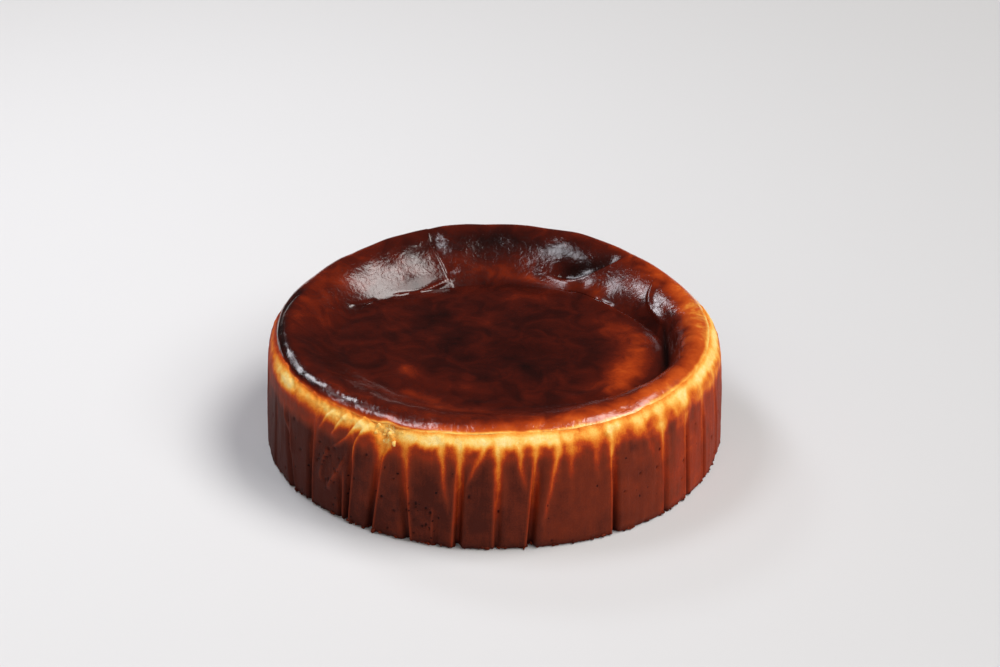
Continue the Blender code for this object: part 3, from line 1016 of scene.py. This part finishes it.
@dataclass
class CustardSide:
    """The baked custard from the flat base up the pleated side, and on under the skin's edge."""

    form: CakeForm
    material: bpy.types.Material
    columns: int = 1020
    upright_rows: int = 68
    shoulder_rows: int = 24
    under_skin: float = 0.10  # how far it goes on under the skin, as a share of the shoulder
    lip_height: float = 0.35
    band_foot: float = 47.0  # height where the streaks leave the pale band
    scattered_pits: int = 80
    pit_depth: float = 0.7
    notch_angle: float = 242.8
    spots: Optional[np.ndarray] = None
    angle: Optional[np.ndarray] = None

    def base_angles(self, pleats: Sequence[Pleat]) -> np.ndarray:
        """Spreads the columns round the base, closer together across each pleat.

        Args:
            pleats: all the pleats.

        Returns:
            The columns' angles at the base, in degrees.
        """
        fine = np.linspace(0.0, 360.0, 7201)
        density = np.ones_like(fine)
        for pleat in pleats:
            density += 1.4 * around(fine, pleat.angle, 1.6)
        total = np.concatenate([[0.0], np.cumsum((density[1:] + density[:-1]) / 2)])
        return np.interp(np.arange(self.columns) / self.columns * total[-1], total, fine)

    def lean_at(self, pleats: Sequence[Pleat], angle: np.ndarray) -> np.ndarray:
        """How far the columns lean, read between the pleats.

        Args:
            pleats: all the pleats.
            angle: the columns' angles at the base.

        Returns:
            Each column's lean in degrees from base to shoulder.
        """
        ordered = sorted(pleats, key=lambda each: each.angle % 360)
        angles = np.array([each.angle % 360 for each in ordered])
        leans = np.array([each.lean for each in ordered])
        return np.interp(angle, angles, leans, period=360.0)

    def creased(
        self, pleats: Sequence[Pleat], angle: np.ndarray, height: np.ndarray
    ) -> tuple[np.ndarray, np.ndarray]:
        """Presses the pleats in.

        Args:
            pleats: all the pleats.
            angle: the places' angles.
            height: their heights.

        Returns:
            The pleats' depth in mm, and from 0 to 1 the thin raised lip beside each steep flank.
        """
        depth = np.zeros_like(angle)
        lip = np.zeros_like(angle)
        up = height / self.form.shoulder_start
        for pleat in pleats:
            line = pleat.angle + pleat.lean * np.clip(up, 0, 1.1)
            x = turned(angle, line) * MM_PER_DEGREE * -pleat.steep.value
            fade = (1 - smooth(pleat.top * 0.55, pleat.top, height)) * (1 - 0.45 * up)
            steep = smooth(-0.30 * pleat.width, 0.0, x)
            gentle = 1 - smooth(0.35 * pleat.width, 1.15 * pleat.width, x)
            depth = np.maximum(depth, pleat.depth * fade * steep * gentle)
            strength = min(1.0, pleat.depth / 2.4)
            lip += 0.8 * strength * bell(x + 0.42 * pleat.width, 0.48) * smooth(0, 0.3, fade)
        return depth, lip

    def pale_share(
        self, streaks: Sequence[Streak], angle: np.ndarray, height: np.ndarray, places: np.ndarray
    ) -> tuple[np.ndarray, np.ndarray]:
        """Runs the pale streaks down the side.

        Args:
            streaks: all the streaks.
            angle: the places' angles.
            height: their heights.
            places: their positions.

        Returns:
            How strongly a streak shows at each place, and how far down that streak the place is.
        """
        pale = np.zeros_like(angle)
        lowness = np.zeros_like(angle)
        wobble = 0.6 * self.form.noise.at(places, (4.0, 4.0, 8.0), 3)
        for streak in streaks:
            length = self.band_foot - streak.end_height
            down = np.clip((self.band_foot - height) / length, 0.0, 1.6)
            line = streak.angle + (streak.end_angle - streak.angle) * down
            x = turned(angle, line) * MM_PER_DEGREE + wobble
            width = streak.width * (1.55 - 1.18 * np.clip(down, 0, 1) ** 0.55)
            soft = 0.66 * bell(x, 0.7 * width) + 0.34 * bell(x, 2.0 * width)
            shown = streak.strength * (1 - smooth(0.55, 1.25, down)) * soft
            lowness = np.where(shown > pale, down, lowness)
            pale = np.maximum(pale, shown)
        return pale, lowness

    def panel_bake_and_light(self, height: np.ndarray, brown_top: np.ndarray, places: np.ndarray) -> np.ndarray:
        """How baked the brown crust between the streaks is, with painted light in it.

        Args:
            height: the places' heights.
            brown_top: the height where the brown begins, at each place.
            places: their positions.

        Returns:
            The value at each place: paler towards the right, partly the crust's own colour and partly painted
                light
            from that side; paler under the band; and paler at the far left, as painted light bounced onto
            that side.
        """
        angle, noise = self.angle, self.form.noise
        # Paler towards the right: partly the crust's own colour, partly painted light from the right.
        panel = 0.88 + 0.06 * noise.at(places, (22.0, 22.0, 26.0), 2) - 0.26 * around(angle, 338.0, 38.0)
        panel += 0.05 * noise.at(places, (5.0, 5.0, 9.0), 2) + 0.05 * around(angle, 255.0, 30.0)
        panel -= 0.26 * bell(height - brown_top + 3.4, 3.0)
        # Paler at the far left: painted light bounced onto that side.
        panel -= around(angle, 205.0, 24.0) * (0.10 + 0.10 * smooth(14.0, 40.0, height))
        return panel

    def bake_and_painted_light(
        self, hidden: Sequence[Pleat], height: np.ndarray, lip: np.ndarray, places: np.ndarray
    ) -> np.ndarray:
        """How baked the custard is, with some painted light, before its notch, tear and grooves are coloured.

        Args:
            hidden: the pleats round the back.
            height: the places' heights.
            lip: how strongly a pleat's lip shows.
            places: their positions.

        Returns:
            The value at each place, from cream at 0 to dark brown at 1.
        """
        form, angle, noise = self.form, self.angle, self.form.noise
        streaks = [*FRONT_STREAKS, *back_streaks(hidden)]
        pale, lowness = self.pale_share(streaks, angle, height, places)
        brown_top = form.station("brown_top", angle) + 2.0 * noise.at(places, (4.0, 4.0, 200.0), 3)
        band = form.station("band", angle) + 0.08 * noise.at(places, (7.0, 7.0, 5.0), 2)
        panel = self.panel_bake_and_light(height, brown_top, places)
        soft = 2.4 + 4.5 * around(angle, 203.0, 22.0) + 1.6 * around(angle, 310.0, 22.0)
        brown = smooth(1.0, -1.0, (height - brown_top) / soft)
        streak_bake = 0.12 + 0.56 * np.clip(lowness, 0, 1) ** 0.7
        brown_side = panel + (np.minimum(streak_bake, panel) - panel) * pale
        bake_and_painted_light = band + (brown_side - band) * brown
        # The pleats' raised lips are made paler: a painted highlight along their edges.
        lip_highlight_bake = 0.58 - 0.16 * smooth(5.0, 40.0, height)
        bake_and_painted_light += (np.minimum(lip_highlight_bake, bake_and_painted_light) - bake_and_painted_light) * np.clip(lip, 0, 1)

        # Next to the skin the band is browner, then palest, and it browns again downwards at the left.
        _, edge_height = form.shoulder(angle, form.skin_edge(angle))
        below = edge_height - height
        bake_and_painted_light += 0.16 * smooth(1.6, 0.0, below) - 0.08 * bell(below - 2.6, 1.4)
        bake_and_painted_light += 0.05 * np.clip(below - 2.0, 0.0, 6.0) * around(angle, 208.0, 24.0)
        blotched = around(angle, 308.0, 20.0) * bell(height - 42.0, 7.0)
        bake_and_painted_light += 0.20 * blotched * noise.at(places, (5.0, 5.0, 5.0), 2)
        for fold in SIDE_FOLDS:
            bake_and_painted_light += fold.tint * self.share_on_side(fold, 0.55, height)
        return np.clip(bake_and_painted_light, 0.0, 1.0)

    def pits(self, height: np.ndarray) -> np.ndarray:
        """The larger burst bubbles: some all round, and two clusters of them.

        Args:
            height: the places' heights.

        Returns:
            How deep in a bubble each place is, from 0 to 1.
        """
        rng = np.random.default_rng(31)
        share = np.zeros_like(height)
        spots = [(rng.uniform(0, 360), rng.uniform(3, 36)) for _ in range(self.scattered_pits)]
        for cluster in PIT_CLUSTERS:
            for _ in range(cluster.count):
                across = rng.normal(cluster.angle, cluster.spread)
                spots.append((across, rng.uniform(cluster.low, cluster.high)))
        for angle, high in spots:
            radius, tall = rng.uniform(0.35, 0.75), rng.uniform(0.8, 1.5)
            gap = np.hypot(turned(self.angle, angle) * MM_PER_DEGREE, (height - high) / tall)
            share = np.maximum(share, bell(gap, radius))
        return share

    def share_on_side(self, fold: Fold, widen: float, height: np.ndarray) -> np.ndarray:
        """How strongly a fold shows over the side.

        Args:
            fold: the fold.
            widen: what its reaches are multiplied by.
            height: the places' heights.

        Returns:
            The share at each place, from 0 to 1.
        """
        middle = fold.line[0][0]
        line = np.array([((angle - middle) * MM_PER_DEGREE, high) for angle, high in fold.line])
        x = turned(self.angle, middle) * MM_PER_DEGREE
        return fold_share(line, fold.left_reach * widen, fold.right_reach * widen, x, height)

    def plain_side(self, pleats: Sequence[Pleat]) -> tuple[np.ndarray, np.ndarray]:
        """Lays out the side's rows and columns, and keeps their angles.

        Args:
            pleats: all the pleats.

        Returns:
            Radius and height by row and column, up the side and over the shoulder to under the skin.
        """
        form = self.form
        base = self.base_angles(pleats)
        lean = self.lean_at(pleats, base)
        top_angle = base + lean
        low = [0.0, 0.25, 0.6]  # the worn edge of the base takes closer rows
        upright = np.concatenate([low, np.linspace(1.0, form.shoulder_start, self.upright_rows - 3)])[:, None]
        edge = form.skin_edge(top_angle) + self.under_skin
        shares = np.linspace(0.0, 1.0, self.shoulder_rows + 1)[1:, None] * edge
        upper_angle = np.broadcast_to(top_angle, shares.shape)
        lower_angle = base + lean * (upright / form.shoulder_start)
        upper_radius, upper_height = form.shoulder(upper_angle, shares)
        lower_height = np.broadcast_to(upright, lower_angle.shape)
        self.angle = np.vstack([lower_angle, upper_angle])
        radius = np.vstack([form.side_radius(lower_angle, lower_height), upper_radius])
        return radius, np.vstack([lower_height, upper_height])

    def build(self) -> bpy.types.Object:
        """Models the side and gives it its finish.

        Returns:
            The finished piece.
        """
        form, noise = self.form, self.form.noise
        hidden = back_pleats(FRONT_PLEATS)
        pleats = [*hidden, *FRONT_PLEATS]
        radius, height = self.plain_side(pleats)
        out, up = profile_normals(radius, height)
        places = form.points(self.angle, radius, height)

        depth, lip = self.creased(pleats, self.angle, height)
        relief = self.lip_height * lip - depth

        # Broad swells, a fine upright ripple, the burst bubbles and a crumbly shoulder.
        relief += 0.40 * noise.at(places, (13.0, 13.0, 34.0), 2)
        relief += 0.12 * noise.at(places, (2.2, 2.2, 14.0), 2)
        pits = self.pits(height)
        relief -= self.pit_depth * pits
        relief += 0.22 * smooth(42.0, 47.0, height) * noise.at(places, (2.6, 2.6, 2.6), 3)
        for fold in SIDE_FOLDS:
            relief += fold.height * self.share_on_side(fold, 1.0, height)

        # The notch at the front left, the crumbly edge to the left of it, and the worn foot.
        notch_reach = 0.7 + 3.0 * smooth(36.0, 51.0, height)
        notch = around(self.angle, self.notch_angle, notch_reach) * smooth(35.0, 42.0, height)
        relief += notch * (-2.4 + 2.2 * noise.at(places, (2.2, 2.2, 2.2), 3))
        crumbly = around(self.angle, 222.0, 24.0) * smooth(43.0, 47.0, height)
        relief += 0.5 * crumbly * noise.at(places, (1.8, 1.8, 1.8), 2)
        foot = 1 - smooth(0.6, 3.6, height)
        relief += foot * (-0.35 + 0.4 * noise.at(places, (1.5, 1.5, 1.5), 2))
        relief[-4:] -= np.array([0.15, 0.45, 0.8, 1.2])[:, None]  # sinks away under the skin
        relief[:3] -= np.array([0.9, 0.5, 0.2])[:, None]  # rounds the edge of the base
        raised = np.maximum(height + relief * up, 0.0)
        raised[0] = 0.0
        self.spots = form.points(self.angle, radius + relief * out, raised) * form.unit

        # The notch and the torn edge at the far left are pale, and the pleats' depths are less brown. The
        # notch is set a little more orange than cream, painted warmth for light scattered into its shaded
        # hollows.
        bake_and_painted_light = self.bake_and_painted_light(hidden, height, lip, places)
        bake_and_painted_light += notch * (0.15 + 0.06 * noise.at(places, (2.2, 2.2, 2.2), 2) - bake_and_painted_light)
        bake_and_painted_light -= 0.22 * smooth(0.3, 1.4, depth) * smooth(0.5, 0.8, bake_and_painted_light) * smooth(2.0, 34.0, height)
        pale_tear = around(self.angle, 204.0, 6.0) * bell(height - 46.6, 3.2)
        bake_and_painted_light -= 0.36 * pale_tear * (1 + 0.4 * noise.at(places, (3.0, 3.0, 3.0), 2))

        # Painted shade in the pleats, most low down, and along the foot and in the larger bubbles.
        lowdown = 0.35 + 0.65 * smooth(34.0, 4.0, height)
        recess_shade = 0.6 * smooth(0.5, 2.4, depth) * lowdown + 0.4 * foot + smooth(0.3, 0.7, pits)
        clusters = sum(around(self.angle, each.angle, each.porous_reach) for each in PIT_CLUSTERS)
        porous = (0.22 + 0.34 * clusters) * smooth(42.0, 30.0, height)

        sheet, row, column = rolled_grid("custard_side", self.spots)
        close_flat(sheet, row, 0)
        row = np.concatenate([row, np.zeros(len(sheet.data.vertices) - len(row), dtype=int)])
        column = np.concatenate([column, np.zeros(len(row) - len(column), dtype=int)])
        close_inside(sheet, row, len(height) - 1, 0.92, 30.0 * form.unit)
        extra = len(sheet.data.vertices) - len(row)
        looks = {
            "bake_and_painted_light": np.clip(bake_and_painted_light, 0.04, 1.0),
            "recess_shade": np.clip(recess_shade, 0, 1),
            "porous": np.clip(porous, 0, 1),
        }
        for name, values in looks.items():
            store(sheet, name, np.concatenate([values[row, column], np.full(extra, 0.5)]))
        return finish_piece(sheet, self.material)


@dataclass
class CaramelTop:
    """The caramelised skin over the rim, down the inner wall and across the sunken floor."""

    form: CakeForm
    material: bpy.types.Material
    columns: int = 900
    shoulder_rows: int = 22
    wall_rows: int = 48
    floor_rows: int = 38
    inner_radius: float = 3.0

    def places(self) -> tuple[np.ndarray, np.ndarray, np.ndarray]:
        """Lays out the skin's rows and columns, from its outer edge to the middle.

        Returns:
            Angle, radius and height of the plain skin, by row and column.
        """
        form = self.form
        turn = np.arange(self.columns) * 360.0 / self.columns
        edge = form.skin_edge(turn)
        crest = form.station("crest_radius", turn)
        foot = form.station("foot_radius", turn)
        near_edge = np.array([-0.010, 0.0, 0.006])[:, None] + edge  # close rows, to round the edge
        share = np.linspace(0.0, 1.0, self.shoulder_rows - 2)[1:, None]
        shares = np.vstack([near_edge, edge + 0.006 + (1 - edge - 0.006) * share])
        upper_radius, upper_height = form.shoulder(np.broadcast_to(turn, shares.shape), shares)
        down = 1 - (1 - np.linspace(0.0, 1.0, self.wall_rows + 1)[1:, None]) ** 1.15
        across = np.linspace(0.0, 1.0, self.floor_rows + 1)[1:, None] ** 1.35
        inner = np.vstack([crest + (foot - crest) * down, foot + (self.inner_radius - foot) * across])
        radius = np.vstack([upper_radius, inner])
        angle = np.broadcast_to(turn, radius.shape)
        sunken = form.crater(np.broadcast_to(turn, inner.shape), inner)
        height = np.vstack([upper_height, sunken])
        return angle, radius, height

    def build(self) -> bpy.types.Object:
        """Models the skin and gives it its finish.

        Returns:
            The finished piece.
        """
        form, noise = self.form, self.form.noise
        angle, radius, height = self.places()
        out, up = profile_normals(radius, height)
        places = form.points(angle, radius, height)
        foot = form.station("foot_radius", angle)
        from_edge = np.clip(radius[1] - radius, 0.0, None)
        rim = smooth(-2.0, 9.0, radius - foot)

        relief = np.zeros_like(radius)
        for patch in TOP_BUMPS:
            relief += patch.amount * patch_share(patch, angle, radius)
        shares = []
        for fold in TOP_FOLDS:
            line = line_on_top(fold)
            share = fold_share(line, fold.left_reach, fold.right_reach, places[..., 0], places[..., 1])
            relief += fold.height * share
            shares.append(share)

        # Swells: calmer at the pocket, and broader on the sunken floor.
        calm = 1 - 0.6 * around(angle, 55.0, 26.0)
        relief += 0.45 * rim * calm * noise.at(places, (15.0, 15.0, 15.0), 2)
        relief += 0.45 * (1 - rim) * noise.at(places, (26.0, 26.0, 26.0), 2)

        # Fine wrinkles along the front and the front left, and puckers on the rest of the rim.
        wrinkled = rim * (0.40 * around(angle, 268.0, 72.0) + 0.60 * around(angle, 228.0, 30.0))
        puckered = 0.15 + 0.55 * rim * (1 - 0.8 * around(angle, 232.0, 34.0))
        relief += 0.16 * wrinkled * noise.at(places, (2.8, 8.0, 6.0), 2)
        relief += 0.16 * wrinkled * noise.at(places, (6.5, 6.5, 6.5), 2)
        relief *= smooth(0.2, 3.0, from_edge)

        # The skin stands up off the custard, most on the left, and thins further in.
        left = around(angle, 195.0, 34.0)
        thickness = 0.04 + 0.4 * left * (1 + 0.25 * noise.at(places, (5.0, 5.0, 5.0), 2))
        relief += thickness * smooth(-0.01, 1.2, from_edge) * (1 - 0.7 * smooth(2.0, 8.0, from_edge))
        relief[0] -= 0.5  # tucks the outermost row in
        spots = form.points(angle, radius + relief * out, height + relief * up) * form.unit

        sheet, row, column = rolled_grid("caramelised_top", spots)
        select_row(sheet, row, self.shoulder_rows + self.wall_rows - 1)
        bpy.ops.mesh.mark_sharp()
        bpy.ops.object.mode_set(mode="OBJECT")
        close_flat(sheet, row, len(radius) - 1)
        middle = len(sheet.data.vertices) - len(row)
        row = np.concatenate([row, np.full(middle, len(radius) - 1)])
        column = np.concatenate([column, np.zeros(middle, dtype=int)])
        close_inside(sheet, row, 0, 0.90, 33.0 * form.unit)
        extra = len(sheet.data.vertices) - len(row)
        char_and_painted_shade = self.char_and_painted_shade(angle, radius, from_edge, rim, places)
        # Fold tints: browning of the skin, and painted shade in the pocket, slit, valley and loose skin fold.
        for fold, share in zip(TOP_FOLDS, shares):
            char_and_painted_shade += fold.tint * share
        looks = {"char_and_painted_shade": np.clip(char_and_painted_shade, 0, 1), "wrinkled": 0.6 * wrinkled, "puckered": puckered}
        for name, values in looks.items():
            store(sheet, name, np.concatenate([values[row, column], np.full(extra, 0.5)]))
        return finish_piece(sheet, self.material)

    def char_and_painted_shade(
        self,
        angle: np.ndarray,
        radius: np.ndarray,
        from_edge: np.ndarray,
        rim: np.ndarray,
        places: np.ndarray,
    ) -> np.ndarray:
        """How dark the skin is burnt, with painted shade in the slit.

        Args:
            angle: the places' angles.
            radius: their distances from the middle.
            from_edge: how far in from the skin's edge they are.
            rim: 1 on the rim and its inner wall, and 0 on the sunken floor.
            places: their positions.

        Returns:
            The value at each place, from 0 where the skin is thin and amber to 1.
        """
        ragged = 1 + 0.25 * self.form.noise.at(places, (6.0, 6.0, 6.0), 2)
        reach = self.form.station("amber", angle) * ragged
        thick = 0.36 * around(angle, 188.0, 42.0) * smooth(7.0, 0.5, from_edge)
        char_and_painted_shade = 0.04 + thick + 0.22 * smooth(0.0, 1.2, from_edge / (0.7 + 0.07 * reach))
        char_and_painted_shade += 0.40 * smooth(0.0, 1.6, from_edge / reach)
        char_and_painted_shade += 0.12 * (1 - rim) + 0.06 * smooth(50.0, 15.0, radius)
        # Patches of burn, and painted shade in the slit.
        for tint in TOP_TINTS:
            char_and_painted_shade += tint.amount * patch_share(tint, angle, radius)
        return char_and_painted_shade + 0.05 * self.form.noise.at(places, (9.0, 9.0, 9.0), 2)


@dataclass
class Crumbs:
    """Small irregular lumps that cling to the side, joined into one piece."""

    name: str
    form: CakeForm
    material: bpy.types.Material
    centres: np.ndarray
    smallest: float  # mm
    largest: float  # mm
    bake_and_painted_light: tuple[float, float]  # how baked the palest and the brownest lump are
    seed: int

    def build(self) -> bpy.types.Object:
        """Models one lump, copies it to each centre with its own shape, and joins the copies.

        Returns:
            The finished piece.
        """
        deselect_all()
        bpy.ops.mesh.primitive_uv_sphere_add(segments=8, ring_count=5, radius=1.0)
        first = bpy.context.object
        rng = np.random.default_rng(self.seed)
        ball = np.array([vertex.co for vertex in first.data.vertices])
        lumps = []
        for centre in self.centres:
            size = rng.uniform(self.smallest, self.largest) * self.form.unit
            stretch = rng.uniform(0.6, 1.5, 3)
            dents = self.form.noise.at(ball * 0.9 + rng.uniform(0, 40, 3), (0.8, 0.8, 0.8), 2)
            spots = centre + ball * stretch * size * (1 + 0.55 * dents)[:, None]
            spots[:, 2] = np.maximum(spots[:, 2], 0.0)
            lump = first.copy()
            lump.data = first.data.copy()
            lump.data.vertices.foreach_set("co", spots.ravel())
            store(lump, "bake_and_painted_light", np.full(len(ball), rng.uniform(*self.bake_and_painted_light)))
            bpy.context.collection.objects.link(lump)
            lump.select_set(True)
            lumps.append(lump)
        first.select_set(False)
        bpy.data.objects.remove(first, do_unlink=True)
        bpy.context.view_layer.objects.active = lumps[0]
        bpy.ops.object.join()
        piece = bpy.context.object
        piece.name = piece.data.name = self.name
        return finish_piece(piece, self.material)


def base_crumb_centres(side: CustardSide, count: int) -> np.ndarray:
    """Picks places for the crumbs along the worn edge of the base.

    Args:
        side: the custard side, already built.
        count: how many places.

    Returns:
        The places, in metres.
    """
    rng = np.random.default_rng(41)
    columns = rng.integers(0, side.spots.shape[1], count)
    rows = rng.integers(1, 4, count)
    return side.spots[rows, columns] * np.array([0.997, 0.997, 1.0])


def torn_centres(side: CustardSide, count: int) -> np.ndarray:
    """Picks places for the torn pale custard: most in the notch, others along the skin's edge on the left.

    Args:
        side: the custard side, already built.
        count: how many places.

    Returns:
        The places, in metres.
    """
    rng = np.random.default_rng(43)
    angle, high = side.angle, side.spots[..., 2] / side.form.unit
    _, edge = side.form.shoulder(angle, side.form.skin_edge(angle))
    half = 0.5 + 2.6 * smooth(38.0, 50.0, high)
    notch = around(angle, 243.2, half) * smooth(41.0, 45.0, high) * smooth(1.0, -0.5, high - edge)
    left = 0.12 * around(angle, 204.5, 3.5) * bell(high - edge + 2.6, 1.2)
    weight = (notch + left).ravel()
    chosen = rng.choice(len(weight), count, replace=False, p=weight / weight.sum())
    return side.spots.reshape(-1, 3)[chosen] * np.array([0.994, 0.994, 1.0])


# ------------------------------------------------------------------------------
# Studio
# ------------------------------------------------------------------------------


@dataclass
class Studio:
    """A plain pale floor, soft lights and the camera."""

    camera_place: tuple[float, float, float] = (0.0025, -0.9251, 0.5452)
    camera_down: float = 28.26
    camera_roll: float = 0.26
    lens: float = 86.4
    aim: tuple[float, float, float] = (0.0, 0.0, 0.04)  # what the softboxes face
    floor_size: float = 8.0
    floor_gap: float = 0.0002  # how far the floor lies below the base, so that the two don't coincide

    def floor(self) -> None:
        """Adds the floor."""
        deselect_all()
        bpy.ops.mesh.primitive_plane_add(size=self.floor_size, location=(0.0, 0.0, -self.floor_gap))
        floor = bpy.context.object
        floor.name = "studio_floor"
        material, _, shader = new_finish("pale_floor")
        shader.inputs["Base Color"].default_value = linear("#d6d6d7")
        shader.inputs["Roughness"].default_value = 0.7
        shader.inputs["Specular IOR Level"].default_value = 0.2
        floor.data.materials.append(material)

    def sun(
        self,
        name: str,
        towards: Sequence[float],
        spread: float,
        strength: float,
        colour: str,
        mirrored: bool = True,
    ) -> None:
        """Adds a very soft sun.

        Args:
            name: its name.
            towards: the direction it shines from.
            spread: how wide it is, in degrees.
            strength: its strength.
            colour: its sRGB hex code.
            mirrored: whether it shows in the gloss.
        """
        data = bpy.data.lights.new(name, "SUN")
        data.angle = math.radians(spread)
        data.energy = strength
        data.color = linear(colour)[:3]
        lamp = bpy.data.objects.new(name, data)
        lamp.visible_glossy = mirrored
        lamp.rotation_euler = Vector(towards).to_track_quat("Z", "Y").to_euler()
        bpy.context.collection.objects.link(lamp)

    def softbox(
        self,
        name: str,
        place: Sequence[float],
        size: Sequence[float],
        power: float,
        colour: str,
        mirrored: bool = True,
    ) -> None:
        """Adds a softbox that faces the cake.

        Args:
            name: its name.
            place: its place, in metres.
            size: its width and height, in metres.
            power: its power in watts.
            colour: its sRGB hex code.
            mirrored: whether it shows in the gloss.
        """
        data = bpy.data.lights.new(name, "AREA")
        data.shape = "RECTANGLE"
        data.size, data.size_y = size
        data.energy = power
        data.color = linear(colour)[:3]
        lamp = bpy.data.objects.new(name, data)
        lamp.visible_glossy = mirrored
        lamp.location = place
        lamp.rotation_euler = (Vector(place) - Vector(self.aim)).to_track_quat("Z", "Y").to_euler()
        bpy.context.collection.objects.link(lamp)

    def build(self) -> None:
        """Sets up the floor, lights, world and camera."""
        self.floor()
        self.sun("key", (0.52, 0.08, 0.85), 27.0, 1.65, "#fffdfa")
        self.sun("front_window", (0.62, -0.38, 0.69), 32.0, 1.38, "#fffdfa")
        self.sun("left_fill", (-0.78, -0.45, 0.44), 70.0, 0.40, "#fff0de", mirrored=False)
        self.softbox("left_overhead", (-0.33, 0.06, 0.76), (0.28, 0.24), 1.9, "#f6f7ff")
        self.softbox("back_left", (-0.36, 0.46, 0.58), (0.19, 0.14), 1.05, "#f6f7ff")
        self.softbox("front_fill", (-0.10, -1.15, 0.80), (1.2, 0.8), 3.6, "#ffffff", mirrored=False)
        world = bpy.data.worlds.new("studio")
        world.use_nodes = True
        back = world.node_tree.nodes["Background"]
        back.inputs["Color"].default_value = linear("#f0f2f6")
        back.inputs["Strength"].default_value = 0.025
        bpy.context.scene.world = world
        # Colours then show as they are stated.
        bpy.context.scene.view_settings.view_transform = "Standard"
        data = bpy.data.cameras.new("camera")
        data.lens = self.lens
        data.sensor_width = 36.0
        camera = bpy.data.objects.new("camera", data)
        camera.location = self.camera_place
        tilt = Euler((math.radians(90 - self.camera_down), 0.0, 0.0)).to_matrix()
        roll = Euler((0.0, 0.0, math.radians(self.camera_roll))).to_matrix()
        camera.rotation_euler = (tilt @ roll).to_euler()
        bpy.context.collection.objects.link(camera)
        bpy.context.scene.camera = camera


def main() -> None:
    """Builds the cake and the studio."""
    logging.basicConfig(level=logging.INFO, format="%(name)s: %(message)s")
    low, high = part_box(NODE)
    base_radius = (high.x - low.x + high.y - low.y) / 4
    form = CakeForm(unit=base_radius / REFERENCE_RADIUS)
    custard = BakedCustard().material(form.unit)
    side = CustardSide(form, custard)
    side.build()
    CaramelTop(form, CaramelSkin().material(form.unit)).build()
    Crumbs("base_crumbs", form, custard, base_crumb_centres(side, 420), 0.35, 0.85, (0.75, 1.0), 51).build()
    Crumbs("torn_custard", form, custard, torn_centres(side, 60), 0.45, 1.0, (0.0, 0.10), 53).build()
    Studio().build()


if __name__ == "__main__":
    main()
